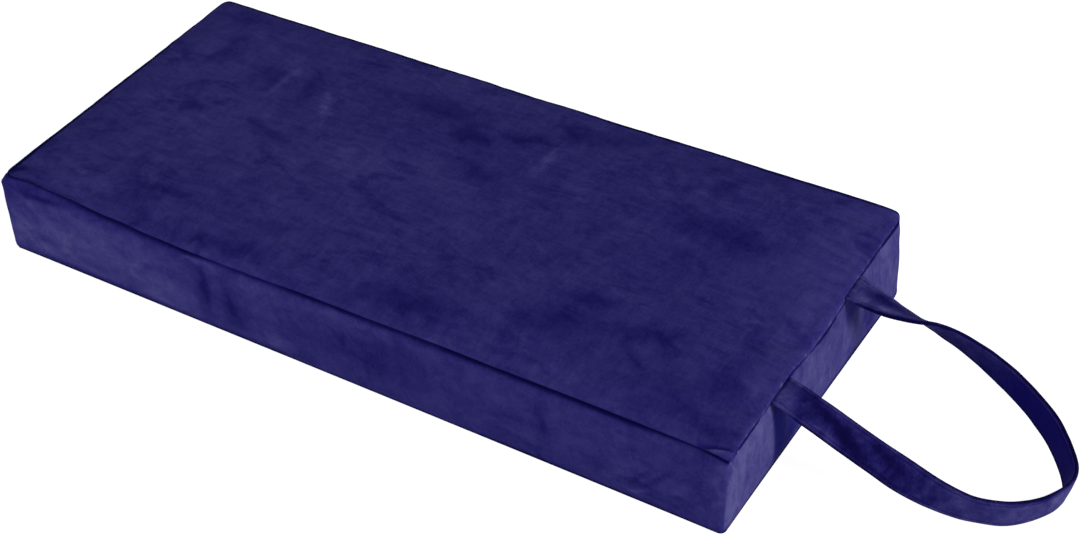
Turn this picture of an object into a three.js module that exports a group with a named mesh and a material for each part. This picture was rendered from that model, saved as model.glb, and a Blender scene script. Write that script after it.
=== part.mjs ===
// Kneeling cushion: a firm boxed pad covered in cloth, with a flat carry strap in a loop at one short end.
// Millimetres, +Z up. The origin is the middle of the flat underside. +X runs along the pad towards the strap.
import * as THREE from 'three';

// Driving dimensions of the pad
const LENGTH = 450;
const WIDTH = 203;
const SEAM_HEIGHT = 51.5; // the top seam above the floor
const CROWN = 4; // how far the middle of the top panel stands above its edge
const CROWN_POWER = 4; // a high power keeps the top nearly level and rolls it off close to the edge
const DRAWN_IN_LONG = 0.8; // how far each long side pulls in, halfway along
const DRAWN_IN_SHORT = 0.6;

// Driving dimensions of the strap
const STRAP_WIDTH = 17;
const STRAP_THICKNESS = 2.5; // cloth folded in four and sewn flat
const STRAP_PINCHED = 1.2; // its thickness where the seam grips it
const STRAP_PINCH_REACH = 0.05; // share of the strap's run over which it swells from the seam
const STRAP_EDGE_ROUND = 0.5;

// Fineness of the surfaces
const LONG_SIDE_STEPS = 20;
const SHORT_SIDE_STEPS = 10;
const CORNER_STEPS = 4;
const STRAP_STEPS_PER_SPAN = 5;

const CLOTH_COLOUR = 0x2d2a68;
const STRAP_COLOUR = 0x282460;
const CLOTH_ROUGHNESS = 0.92;

// The pad's side from the floor up: how far each line lies inside the full outline, its height and its corner radius.
// Both seams are grooves between the swelling edges of the panels that they join.
const SIDE_SECTION = [
  { inset: 2.2, height: 0, corner: 4 }, // edge of the flat underside
  { inset: 0.4, height: 0.9, corner: 5 }, // lower lip of the lower seam
  { inset: 1.6, height: 2, corner: 5 }, // lower seam
  { inset: 0.4, height: 3.2, corner: 5 }, // upper lip of the lower seam
  { inset: 0, height: 10, corner: 5.5 }, // foot of the side band
  { inset: -0.6, height: SEAM_HEIGHT / 2, corner: 6 }, // swell of the side band
  { inset: 0, height: SEAM_HEIGHT - 7, corner: 5.5 }, // head of the side band
  { inset: 0.6, height: SEAM_HEIGHT - 1.8, corner: 5 }, // lower lip of the top seam
  { inset: 2.4, height: SEAM_HEIGHT, corner: 4 }, // top seam
  { inset: 0.2, height: SEAM_HEIGHT + 1.2, corner: 4 }, // upper lip of the top seam
  { inset: 2.6, height: SEAM_HEIGHT + 2, corner: 4.5 }, // roll of the top panel
];

// Rings of the top panel as shares of its outer ring, on the way in to its middle.
const TOP_RINGS = [0.965, 0.91, 0.82, 0.69, 0.5, 0.27];

// The strap's middle line from its front end to its back end: how far past the end of the pad, how far across it and
// how high. Roll turns the strip from flat, outer face up, at 0 degrees to on edge, outer face outwards, at 90.
const STRAP_ROUTE = [
  { out: -1.4, across: -48, up: SEAM_HEIGHT, roll: 0 },
  { out: 4, across: -48, up: 49.2, roll: 8 },
  { out: 14, across: -47, up: 45, roll: 23 },
  { out: 35, across: -45.5, up: 34.5, roll: 28 },
  { out: 51, across: -43, up: 25, roll: 33 },
  { out: 62.5, across: -41.5, up: 19, roll: 52 },
  { out: 76, across: -40.5, up: 14.3, roll: 72 },
  { out: 94, across: -38.5, up: 11.3, roll: 89 },
  { out: 115.5, across: -29.5, up: 11, roll: 96 },
  { out: 129.5, across: -3, up: 9.7, roll: 102 },
  { out: 116.5, across: 21, up: 11.8, roll: 103 },
  { out: 97, across: 35.5, up: 17, roll: 97 },
  { out: 78, across: 41, up: 25.3, roll: 88 },
  { out: 59, across: 42, up: 34, roll: 72 },
  { out: 43, across: 40, up: 40.7, roll: 52 },
  { out: 23, across: 36, up: 45.8, roll: 16 },
  { out: 5, across: 36, up: 48.9, roll: 3 },
  { out: -1.4, across: 36, up: SEAM_HEIGHT, roll: 0 },
];

const UP = new THREE.Vector3(0, 0, 1);

// One level ring of the pad, anticlockwise from above: a rectangle with round corners whose sides pull in.
function padRing(inset, height, corner) {
  const halfLength = LENGTH / 2 - inset;
  const halfWidth = WIDTH / 2 - inset;
  const centres = [
    [halfLength - corner, corner - halfWidth],
    [halfLength - corner, halfWidth - corner],
    [corner - halfLength, halfWidth - corner],
    [corner - halfLength, corner - halfWidth],
  ];
  const points = [];
  centres.forEach(([centreX, centreY], quarter) => {
    for (let step = 0; step <= CORNER_STEPS; step += 1) {
      const angle = (quarter - 1 + step / CORNER_STEPS) * (Math.PI / 2);
      points.push(new THREE.Vector2(centreX + corner * Math.cos(angle), centreY + corner * Math.sin(angle)));
    }
    const from = points[points.length - 1];
    const [nextX, nextY] = centres[(quarter + 1) % centres.length];
    const nextAngle = quarter * (Math.PI / 2);
    const to = new THREE.Vector2(nextX + corner * Math.cos(nextAngle), nextY + corner * Math.sin(nextAngle));
    const sideSteps = quarter % 2 === 0 ? SHORT_SIDE_STEPS : LONG_SIDE_STEPS;
    for (let step = 1; step < sideSteps; step += 1) {
      points.push(from.clone().lerp(to, step / sideSteps));
    }
  });
  return points.map(({ x, y }) => {
    const pullX = DRAWN_IN_SHORT * (1 - (y / halfWidth) ** 2);
    const pullY = DRAWN_IN_LONG * (1 - (x / halfLength) ** 2);
    return new THREE.Vector3(x * (1 - pullX / halfLength), y * (1 - pullY / halfWidth), height);
  });
}

// A closed solid through rings of equal count, each anticlockwise about the way the loft runs, with a fan at each end.
function loft(rings, firstMiddle, lastMiddle) {
  const count = rings[0].length;
  const points = [...rings.flat(), firstMiddle, lastMiddle];
  const first = points.length - 2;
  const last = points.length - 1;
  const lastRing = (rings.length - 1) * count;
  const faces = [];
  for (let place = 0; place < count; place += 1) {
    const next = (place + 1) % count;
    for (let ring = 0; ring < rings.length - 1; ring += 1) {
      const below = ring * count;
      const above = below + count;
      faces.push(below + place, below + next, above + next);
      faces.push(below + place, above + next, above + place);
    }
    faces.push(first, next, place);
    faces.push(last, lastRing + place, lastRing + next);
  }
  const geometry = new THREE.BufferGeometry();
  geometry.setFromPoints(points);
  geometry.setIndex(faces);
  geometry.computeVertexNormals();
  return geometry;
}

// The filled pad: its side section all the way round, then the crowned top panel.
function padGeometry() {
  const rings = SIDE_SECTION.map(({ inset, height, corner }) => padRing(inset, height, corner));
  const rim = rings[rings.length - 1];
  const rimLength = Math.max(...rim.map(({ x }) => x));
  const rimWidth = Math.max(...rim.map(({ y }) => y));
  const rimHeight = rim[0].z;
  const crowned = (x, y) => {
    const alongRise = 1 - Math.abs(x / rimLength) ** CROWN_POWER;
    const acrossRise = 1 - Math.abs(y / rimWidth) ** CROWN_POWER;
    return new THREE.Vector3(x, y, rimHeight + CROWN * alongRise * acrossRise);
  };
  TOP_RINGS.forEach((share) => {
    rings.push(rim.map(({ x, y }) => crowned(x * share, y * share)));
  });
  return loft(rings, new THREE.Vector3(0, 0, 0), crowned(0, 0));
}

// The strip's thickness at a share of its run: pinched where each end goes into the seam.
function strapThickness(share) {
  const fromSeam = Math.min(share, 1 - share) / STRAP_PINCH_REACH;
  return THREE.MathUtils.lerp(STRAP_PINCHED, STRAP_THICKNESS, THREE.MathUtils.smoothstep(fromSeam, 0, 1));
}

// The strip's cross-section as pairs (across the strip, out of its outer face), anticlockwise, edges eased.
function strapSection(thickness) {
  const halfWidth = STRAP_WIDTH / 2;
  const halfThickness = thickness / 2;
  const ease = Math.min(STRAP_EDGE_ROUND, halfThickness / 2);
  const quarter = [
    [halfWidth, halfThickness - ease],
    [halfWidth - ease, halfThickness],
  ];
  const upperHalf = [...quarter, ...quarter.map(([across, out]) => [-across, out]).reverse()];
  return [...upperHalf, ...upperHalf.map(([across, out]) => [-across, -out])];
}

// The strap: one strip swept along its route, rolling from flat to on edge and back.
function strapGeometry() {
  const route = STRAP_ROUTE.map(({ out, across, up }) => new THREE.Vector3(LENGTH / 2 + out, across, up));
  const middleLine = new THREE.CatmullRomCurve3(route);
  const rollLine = new THREE.SplineCurve(STRAP_ROUTE.map(({ roll }, station) => new THREE.Vector2(station, roll)));
  const steps = (STRAP_ROUTE.length - 1) * STRAP_STEPS_PER_SPAN;
  const rings = [];
  for (let step = 0; step <= steps; step += 1) {
    const share = step / steps;
    const middle = middleLine.getPoint(share);
    const along = middleLine.getTangent(share);
    const inward = UP.clone().cross(along).normalize();
    const upward = along.clone().cross(inward);
    const roll = THREE.MathUtils.degToRad(rollLine.getPoint(share).y);
    const across = inward.clone().multiplyScalar(Math.cos(roll)).addScaledVector(upward, Math.sin(roll));
    const outer = upward.clone().multiplyScalar(Math.cos(roll)).addScaledVector(inward, -Math.sin(roll));
    rings.push(strapSection(strapThickness(share)).map(([acrossBy, outBy]) => (
      middle.clone().addScaledVector(across, acrossBy).addScaledVector(outer, outBy)
    )));
  }
  return loft(rings, route[0], route[route.length - 1]);
}

function namedMesh(name, geometry, colour) {
  const material = new THREE.MeshStandardMaterial({ color: colour, roughness: CLOTH_ROUGHNESS, metalness: 0 });
  const mesh = new THREE.Mesh(geometry, material);
  mesh.name = name;
  return mesh;
}

const kneeler = new THREE.Group();
kneeler.add(namedMesh('cushion', padGeometry(), CLOTH_COLOUR));
kneeler.add(namedMesh('carry_strap', strapGeometry(), STRAP_COLOUR));

export default kneeler;
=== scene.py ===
"""Looks of a kneeling cushion: a firm boxed pad in short-pile cloth, with a carry strap sewn into one end.

Sizes are in millimetres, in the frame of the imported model: the origin is the middle of the underside, +X
runs along the pad towards the strap and -Y is the near long side. Meshes, lights and the camera are made in
metres.
"""

from __future__ import annotations

import logging
import math
from dataclasses import dataclass, field
from enum import Enum

import bpy
import numpy as np
from mathutils import Matrix, Vector


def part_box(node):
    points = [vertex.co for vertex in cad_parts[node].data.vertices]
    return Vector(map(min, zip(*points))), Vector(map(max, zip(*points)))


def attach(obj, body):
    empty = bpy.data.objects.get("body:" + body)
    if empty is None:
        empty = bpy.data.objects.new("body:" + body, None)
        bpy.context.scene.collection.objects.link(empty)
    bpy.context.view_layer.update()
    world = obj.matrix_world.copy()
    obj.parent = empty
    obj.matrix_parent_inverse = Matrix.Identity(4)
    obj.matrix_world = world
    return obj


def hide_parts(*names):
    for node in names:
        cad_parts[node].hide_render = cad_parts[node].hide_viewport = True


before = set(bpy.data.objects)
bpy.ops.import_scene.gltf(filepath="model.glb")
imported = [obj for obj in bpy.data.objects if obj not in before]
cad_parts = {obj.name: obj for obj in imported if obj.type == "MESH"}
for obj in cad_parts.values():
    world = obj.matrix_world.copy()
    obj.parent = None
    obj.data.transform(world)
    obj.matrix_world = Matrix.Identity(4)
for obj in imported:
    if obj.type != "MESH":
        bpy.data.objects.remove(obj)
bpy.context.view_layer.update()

log = logging.getLogger("kneeling_cushion")

MM = 0.001  # metres in a millimetre
BODY = "root"

Array = np.ndarray
Colour = tuple[float, float, float]
Place = tuple[float, float]
Triple = tuple[float, float, float]


# Small sums used by every piece


def from_srgb(red: int, green: int, blue: int) -> Colour:
    """Scene-linear colour of three screen values.

    Args:
        red, green, blue: screen values from 0 to 255.

    Returns:
        The colour as linear light.
    """
    shares = [value / 255 for value in (red, green, blue)]
    return tuple(s / 12.92 if s <= 0.04045 else ((s + 0.055) / 1.055) ** 2.4 for s in shares)


def smoothstep(low: float, high: float, value: Array) -> Array:
    """Eased rise from 0 at low to 1 at high."""
    share = np.clip((value - low) / (high - low), 0.0, 1.0)
    return share * share * (3 - 2 * share)


def bell(distance: Array, reach: float) -> Array:
    """Soft bump that is 1 at distance 0 and fades out past its reach."""
    return np.exp(-((distance / reach) ** 2))


def eased_profile(stations: tuple[Place, ...], at: Array) -> Array:
    """Value along a line that passes level through each station.

    Args:
        stations: pairs of place and value, in order of place.
        at: the places to read.

    Returns:
        The eased values there.
    """
    places = np.array([place for place, _ in stations])
    values = np.array([value for _, value in stations])
    span = np.clip(np.searchsorted(places, at, side="right") - 1, 0, len(places) - 2)
    share = smoothstep(0.0, 1.0, (at - places[span]) / (places[span + 1] - places[span]))
    return values[span] + (values[span + 1] - values[span]) * share


def spline_through(rows: Array, steps: list[int], centripetal: bool = True) -> Array:
    """Points on a Catmull-Rom curve through the rows.

    Args:
        rows: one point a row, of any number of columns.
        steps: how many steps each span is cut into.
        centripetal: whether the spans are timed by the root of their length, and not evenly.

    Returns:
        The points, from the first row to the last.
    """
    ends = np.vstack([2 * rows[0] - rows[1], rows, 2 * rows[-1] - rows[-2]])
    points = []
    for before, start, end, after, count in zip(ends, ends[1:], ends[2:], ends[3:], steps):
        share = np.linspace(0, 1, count, endpoint=False)[:, None]
        pairs = ((before, start), (start, end), (end, after))
        lead, span, trail = (np.linalg.norm(b - a) ** 0.5 if centripetal else 1.0 for a, b in pairs)
        leave = (start - before) / lead - (end - before) / (lead + span) + (end - start) / span
        arrive = (end - start) / span - (after - start) / (span + trail) + (after - end) / trail
        bend = 2 * (start - end) + span * (leave + arrive)
        turn = 3 * (end - start) - span * (2 * leave + arrive)
        points.append(start + share * (span * leave + share * (turn + share * bend)))
    return np.vstack([*points, rows[-1:]])


def resample(values: Array, places: Array, closed: bool = False) -> Array:
    """Smooth reading between evenly spaced samples.

    Args:
        values: samples along the first axis.
        places: where to read, counted in samples.
        closed: whether the last sample is next to the first.

    Returns:
        The values at the places, along the first axis.
    """
    count = len(values)
    base = np.floor(places).astype(int)
    share = (places - base).reshape((-1,) + (1,) * (values.ndim - 1))
    neighbours = [base + step for step in (-1, 0, 1, 2)]
    if closed:
        before, start, end, after = (values[index % count] for index in neighbours)
    else:
        before, start, end, after = (values[np.clip(index, 0, count - 1)] for index in neighbours)
    leave = (end - before) / 2
    arrive = (after - start) / 2
    bend = 2 * (start - end) + leave + arrive
    turn = 3 * (end - start) - 2 * leave - arrive
    return start + share * (leave + share * (turn + share * bend))


class SoftNoise:
    """Seeded sum of plane waves, for the small unevenness of sewn cloth."""

    WAVES = 24

    def __init__(self, seed: int, shortest: float, longest: float, depth: float) -> None:
        """Draws the waves.

        Args:
            seed: fixed seed of the draw.
            shortest, longest: range of the wavelengths.
            depth: about how far the noise goes to each side of 0.
        """
        draw = np.random.default_rng(seed)
        lengths = shortest * (longest / shortest) ** draw.random(self.WAVES)
        ways = draw.normal(size=(self.WAVES, 3))
        ways /= np.linalg.norm(ways, axis=1, keepdims=True)
        self.turns = 2 * math.pi * ways / lengths[:, None]
        self.starts = 2 * math.pi * draw.random(self.WAVES)
        self.depth = depth / math.sqrt(2 * self.WAVES)

    def at(self, points: Array) -> Array:
        """Noise at points of three columns."""
        return self.depth * np.sin(points @ self.turns.T + self.starts).sum(axis=1)


# Meshes


def new_piece(name: str, points: Array, faces: list[tuple[int, ...]]) -> bpy.types.Object:
    """Smooth-shaded object at the origin.

    Args:
        name: the piece's name.
        points: its vertices in millimetres.
        faces: vertex numbers of each face, anticlockwise from outside.

    Returns:
        The object, in the scene.
    """
    mesh = bpy.data.meshes.new(name)
    mesh.from_pydata((points * MM).tolist(), [], faces)
    mesh.validate()
    mesh.shade_smooth()
    piece = bpy.data.objects.new(name, mesh)
    bpy.context.scene.collection.objects.link(piece)
    return piece


def set_point_values(piece: bpy.types.Object, name: str, values: Array) -> None:
    """Stores one number for each vertex, for a material to read."""
    attribute = piece.data.attributes.new(name, "FLOAT", "POINT")
    attribute.data.foreach_set("value", values.astype(np.float32))


def dress(piece: bpy.types.Object, material: bpy.types.Material) -> None:
    """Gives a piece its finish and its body.

    Args:
        piece: the piece.
        material: its finish.
    """
    piece.data.materials.clear()
    piece.data.materials.append(material)
    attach(piece, BODY)


# Finishes

PILE_AND_LIGHT = "nap"  # vertex attribute that lightens the pile, or darkens it below 0, with painted light and shade
PAINTED_SHADE = "shaded"  # vertex attribute, 0 to 1, of painted shade that turns the colour a deeper blue
EVEN = 0.5  # middle of what a noise node gives, and the tone of pile that nothing has brushed

Socket = bpy.types.NodeSocket
Inputs = dict[str | int, object]
Shades = tuple[tuple[float, Colour], ...]


@dataclass(frozen=True)
class Grain:
    """Layer of fractal noise in a finish."""

    scale: float  # cells in a metre
    detail: float  # how many finer layers are added
    rough: float  # how strong each finer layer is beside the one before
    warp: float  # how far the coordinates are stirred
    turn: Triple = (0, 0, 0)  # degrees about each axis
    stretch: Triple = (1, 1, 1)


class NodeTree:
    """Short calls that add and join the nodes of one tree."""

    def __init__(self, tree: bpy.types.NodeTree) -> None:
        """Keeps the tree and clears it."""
        self.tree = tree
        tree.nodes.clear()

    def add(self, kind: str, inputs: Inputs | None = None, **settings: object) -> bpy.types.Node:
        """New node.

        Args:
            kind: Blender's name for the node's type.
            inputs: values for its input sockets, or sockets to join to them.
            settings: values for its properties.

        Returns:
            The node.
        """
        node = self.tree.nodes.new(kind)
        for name, value in settings.items():
            setattr(node, name, value)
        for name, value in (inputs or {}).items():
            if isinstance(value, Socket):
                self.tree.links.new(value, node.inputs[name])
            else:
                node.inputs[name].default_value = value
        return node

    def attribute(self, name: str) -> Socket:
        """Vertex attribute as a number."""
        return self.add("ShaderNodeAttribute", attribute_name=name).outputs["Fac"]

    def grain(self, where: Socket, grain: Grain) -> Socket:
        """Fractal noise read at where, after the coordinates are turned and stretched.

        Args:
            where: coordinates.
            grain: the noise.

        Returns:
            The socket of the noise, about 0.5 in the middle.
        """
        angles = tuple(math.radians(angle) for angle in grain.turn)
        turned = self.add("ShaderNodeMapping", {"Vector": where, "Rotation": angles, "Scale": grain.stretch})
        made = self.add("ShaderNodeTexNoise", {
            "Vector": turned.outputs["Vector"], "Scale": grain.scale, "Detail": grain.detail,
            "Roughness": grain.rough, "Distortion": grain.warp,
        })
        return made.outputs["Fac"]

    def ranged(self, value: Socket, start: Place, end: Place, easing: str = "LINEAR") -> Socket:
        """Value moved from one range to another, and kept inside it.

        Args:
            value: socket of the value.
            start, end: the two ranges.
            easing: how it goes from end to end.

        Returns:
            The socket of the moved value.
        """
        made = self.add("ShaderNodeMapRange", {
            "Value": value, "From Min": start[0], "From Max": start[1], "To Min": end[0], "To Max": end[1],
        }, interpolation_type=easing)
        return made.outputs["Result"]

    def sum_of(self, *terms: tuple[Socket, float, float]) -> Socket:
        """Weighted sum.

        Args:
            terms: a socket, the value it is counted from, and its weight, for each term.

        Returns:
            The socket of the sum.
        """
        total: Socket | float = 0.0
        for socket, middle, weight in terms:
            centred = self.add("ShaderNodeMath", {0: socket, 1: middle}, operation="SUBTRACT").outputs[0]
            added = self.add("ShaderNodeMath", {0: centred, 1: weight, 2: total}, operation="MULTIPLY_ADD")
            total = added.outputs[0]
        return total

    def ramp(self, tone: Socket, shades: Shades) -> Socket:
        """Colour of a tone.

        Args:
            tone: socket of the tone.
            shades: tones and their colours, in order.

        Returns:
            The socket of the colour.
        """
        made = self.add("ShaderNodeValToRGB", {"Fac": tone})
        stops = made.color_ramp.elements
        while len(stops) < len(shades):
            stops.new(EVEN)
        for stop, (place, colour) in zip(stops, shades):
            stop.position = place
            stop.color = (*colour, 1.0)
        return made.outputs["Color"]

    def blend(self, share: Socket, colour: Socket, other: Colour) -> Socket:
        """Colour that goes over to another by a share.

        Args:
            share: socket of the share, from 0 to 1.
            colour: socket of the first colour.
            other: the second.

        Returns:
            The socket of the blend.
        """
        made = self.add("ShaderNodeMix", data_type="RGBA")
        sockets = {socket.identifier: socket for socket in made.inputs}
        self.tree.links.new(share, sockets["Factor_Float"])
        self.tree.links.new(colour, sockets["A_Color"])
        sockets["B_Color"].default_value = (*other, 1.0)
        return next(socket for socket in made.outputs if socket.identifier == "Result_Color")

    def surface(
        self, colour: Socket, roughness: Socket | float, specular: float, height: Socket, bump: Place
    ) -> None:
        """Ends a material in its surface.

        Args:
            colour, roughness, specular: of the surface.
            height: relief of its grain.
            bump: strength of that relief, and its depth in metres.
        """
        strength, depth = bump
        relief = self.add("ShaderNodeBump", {"Height": height, "Strength": strength, "Distance": depth})
        shader = self.add("ShaderNodeBsdfPrincipled", {
            "Base Color": colour,
            "Roughness": roughness,
            "Specular IOR Level": specular,
            "Normal": relief.outputs["Normal"],
        })
        self.add("ShaderNodeOutputMaterial", {"Surface": shader.outputs["BSDF"]})


def new_finish(name: str) -> tuple[bpy.types.Material, NodeTree, Socket]:
    """Empty material, its nodes, and its Object coordinates.

    Args:
        name: the material's name.

    Returns:
        The material, its tree and the socket of its coordinates.
    """
    material = bpy.data.materials.new(name)
    material.use_nodes = True
    nodes = NodeTree(material.node_tree)
    return material, nodes, nodes.add("ShaderNodeTexCoord").outputs["Object"]


@dataclass(frozen=True)
class PileCloth:
    """Short-pile cloth whose nap lies in brushed patches and feathery strokes."""

    name: str
    shades: Shades = (
        (0.10, from_srgb(0, 0, 42)),
        (0.29, from_srgb(6, 5, 55)),
        (0.40, from_srgb(15, 12, 68)),
        (0.50, from_srgb(26, 23, 79)),
        (0.62, from_srgb(38, 35, 90)),
        (0.72, from_srgb(47, 44, 96)),
        (0.84, from_srgb(58, 55, 104)),
    )  # colour of each tone, from the darkest lie of the pile to the lightest
    # deep blue that the painted shade blends in
    shaded: Colour = from_srgb(1, 0, 96)
    specular: float = 0.03
    roughness: Place = (0.82, 0.98)  # of the darkest and of the lightest pile
    broad: Grain = Grain(10.0, 2.0, 0.5, 0.4)
    patches: Grain = Grain(30.0, 8.0, 0.62, 0.8, (0, 0, 15), (0.8, 1.3, 1.1))
    first_strokes: Grain = Grain(62.0, 8.0, 0.68, 0.7, (0, 0, 32), (1.0, 2.8, 1.6))
    second_strokes: Grain = Grain(62.0, 8.0, 0.68, 0.7, (14, 0, -48), (2.4, 1.0, 1.8))
    pile: Grain = Grain(900.0, 3.0, 0.6, 0.4, (0, 0, 20), (1.0, 0.45, 0.6))
    brushed_edge: Place = (0.53, 0.66)  # of the patches' noise, across which the pile turns over
    brushed_share: float = 0.25  # of the cloth, about
    feather_edge: Place = (0.3, 0.7)  # of the first strokes' noise
    feather: Place = (0.4, 1.6)  # how much of its nap the pile keeps across that edge
    nap_weight: float = 0.5  # of the plain nap, and of the feathered nap
    broad_weight: float = 0.2
    brushed_weight: float = -0.08
    first_weight: float = 0.28
    second_weight: float = 0.22
    pile_weight: float = 0.16
    mottle: float = 1.0  # strength of the strokes and of the pile
    first_height: float = 1.2  # of the first strokes beside the rest of the relief
    bump: Place = (0.6, 0.00012)

    def material(self) -> bpy.types.Material:
        """The cloth as a procedural material on Object coordinates.

        Returns:
            The material.
        """
        material, nodes, where = new_finish(self.name)
        nap = nodes.attribute(PILE_AND_LIGHT)
        grains = (self.broad, self.patches, self.first_strokes, self.second_strokes, self.pile)
        broad, patches, first, second, pile = (nodes.grain(where, grain) for grain in grains)
        brushed = nodes.ranged(patches, self.brushed_edge, (0.0, 1.0), "SMOOTHSTEP")
        feather = nodes.ranged(first, self.feather_edge, self.feather)
        feathered = nodes.add("ShaderNodeMath", {0: nap, 1: feather}, operation="MULTIPLY").outputs[0]
        tone = nodes.sum_of(
            (nap, -EVEN / self.nap_weight, self.nap_weight),
            (feathered, 0.0, self.nap_weight),
            (broad, EVEN, self.broad_weight),
            (brushed, self.brushed_share, self.brushed_weight),
            (first, EVEN, self.first_weight * self.mottle),
            (second, EVEN, self.second_weight * self.mottle),
            (pile, EVEN, self.pile_weight * self.mottle),
        )
        # The painted-shade attribute blends the colour towards the deep blue of painted shade.
        colour = nodes.blend(nodes.attribute(PAINTED_SHADE), nodes.ramp(tone, self.shades), self.shaded)
        rough = nodes.ranged(tone, (0.0, 1.0), self.roughness)
        height = nodes.sum_of((pile, EVEN, 1.0), (first, EVEN, self.first_height), (second, EVEN, 1.0))
        nodes.surface(colour, rough, self.specular, height, self.bump)
        return material


@dataclass(frozen=True)
class SewingThread:
    """Dull two-ply thread a shade off the cloth."""

    name: str
    shades: Shades = ((0.0, from_srgb(4, 2, 44)), (1.0, from_srgb(10, 7, 54)))
    roughness: float = 0.7
    specular: float = 0.05
    ply: Grain = Grain(2600.0, 2.0, 0.5, 0.0)
    bump: Place = (0.4, 0.0001)

    def material(self) -> bpy.types.Material:
        """The thread as a procedural material on Object coordinates."""
        material, nodes, where = new_finish(self.name)
        ply = nodes.grain(where, self.ply)
        nodes.surface(nodes.ramp(ply, self.shades), self.roughness, self.specular, ply, self.bump)
        return material


# The pad


class Face(Enum):
    """Face of the pad: the axes of its own flat coordinates, the axis it looks along and which way."""

    TOP = (0, 1, 2, 1.0)
    NEAR = (0, 2, 1, -1.0)
    FAR = (0, 2, 1, 1.0)
    STRAP_END = (1, 2, 0, 1.0)
    PLAIN_END = (1, 2, 0, -1.0)

    def __init__(self, along: int, across: int, axis: int, sign: float) -> None:
        """Keeps the axes and the way.

        Args:
            along, across: axes of its own flat coordinates.
            axis: axis that it looks along.
            sign: 1 where it looks up that axis, -1 where it looks down.
        """
        self.along = along
        self.across = across
        self.axis = axis
        self.sign = sign

    def flat(self, points: Array) -> Array:
        """The face's own two coordinates of points."""
        return points[:, (self.along, self.across)]


Profile = tuple[Place, ...]


@dataclass(frozen=True)
class SectionRow:
    """Level line round the pad's side."""

    inset: float  # inside the widest line
    height: float  # above the floor
    corner: float  # radius
    follows: float  # share of the top seam's rise and fall that it takes
    steps: int = 2  # rings from here to the next line


@dataclass(frozen=True)
class Crease:
    """Soft trough in a face between two of its points, or a ridge where its depth is negative."""

    start: Place
    end: Place
    depth: float
    reach: float
    tone: float = 0.0  # painted highlight along it, beyond what its depth gives

    LEAST = 0.35  # share of its depth that it has at its ends

    def nearness(self, flat: Array) -> Array:
        """How much the crease takes in each flat point, from 0 to 1.

        Args:
            flat: the face's own coordinates.

        Returns:
            The shares.
        """
        start, end = np.array(self.start, float), np.array(self.end, float)
        along = np.clip((flat - start) @ (end - start) / np.sum((end - start) ** 2), 0, 1)
        gap = np.linalg.norm(flat - start - along[:, None] * (end - start), axis=1)
        return (self.LEAST + (1 - self.LEAST) * np.sin(math.pi * along)) * bell(gap, self.reach)


@dataclass(frozen=True)
class PileAndLightPatch:
    """Patch of darker or lighter tone: mostly pile that lies another way, at some places painted light and
    shade.
    """

    centre: Place
    length: float
    breadth: float
    turn: float  # degrees from the first flat axis to its length
    tone: float

    FADE = 2.4  # power of its fading out

    def lie(self, flat: Array) -> Array:
        """Tone that the patch adds at flat points.

        Args:
            flat: the face's own coordinates.

        Returns:
            The tones.
        """
        away = flat - np.array(self.centre, float)
        turn = math.radians(self.turn)
        along = away @ (math.cos(turn), math.sin(turn))
        across = away @ (-math.sin(turn), math.cos(turn))
        reach = np.hypot(along / self.length, across / self.breadth)
        return self.tone * np.exp(-reach ** self.FADE)


def rows_as(kind: type, tables: dict[Face, tuple[tuple, ...]]) -> dict[Face, tuple]:
    """Objects of one kind for each face, from rows of their values."""
    return {face: tuple(kind(*row) for row in rows) for face, rows in tables.items()}


SIDE_SECTION = (
    SectionRow(2.9, 0.0, 3.0, 0.0),  # edge of the flat underside
    SectionRow(1.7, 0.1, 3.0, 0.0),
    SectionRow(1.2, 0.4, 3.2, 0.0),  # lip of the underside panel
    SectionRow(1.3, 0.7, 3.2, 0.0),
    SectionRow(2.0, 0.9, 3.2, 0.0),  # lower seam, tucked under
    SectionRow(1.2, 1.1, 3.4, 0.0),
    SectionRow(0.7, 2.0, 3.4, 0.0, 4),  # foot of the side band
    SectionRow(0.35, 10.0, 3.6, 0.1, 9),
    SectionRow(0.0, 25.75, 3.4, 0.5, 10),  # swell of the side band
    SectionRow(0.4, 43.0, 3.0, 0.9, 4),  # head of the side band
    SectionRow(0.7, 47.2, 2.8, 1.0, 4),
    SectionRow(1.1, 49.8, 2.6, 1.0, 3),  # tuck of the band under the top panel
    SectionRow(1.6, 50.95, 2.5, 1.0, 3),
    SectionRow(2.2, 51.5, 2.4, 1.0),  # top seam
    SectionRow(1.85, 51.9, 2.6, 1.0),
    SectionRow(1.55, 52.4, 2.8, 0.95),
    SectionRow(1.6, 53.0, 3.0, 0.85),  # lip of the top panel
    SectionRow(2.3, 53.8, 3.4, 0.6, 3),
    SectionRow(4.4, 54.4, 4.4, 0.4),  # roll of the top panel
)
TOP_SEAM_ROW = 13
LOWER_SEAM_ROW = 4
CAGE_ROWS = (0, 6, 7, 8, 9, 11, TOP_SEAM_ROW, 18)  # levels of the coarse cover that is filled

# Cloth settings of the filling: the cover has a little slack, and pressure blows it up.
FILLING = {
    "quality": 6,
    "mass": 0.3,
    "tension_stiffness": 18,
    "compression_stiffness": 12,
    "shear_stiffness": 6,
    "bending_stiffness": 0.4,
    "use_pressure": True,
    "uniform_pressure_force": 4.0,
    "shrink_min": -0.003,
}

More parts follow.
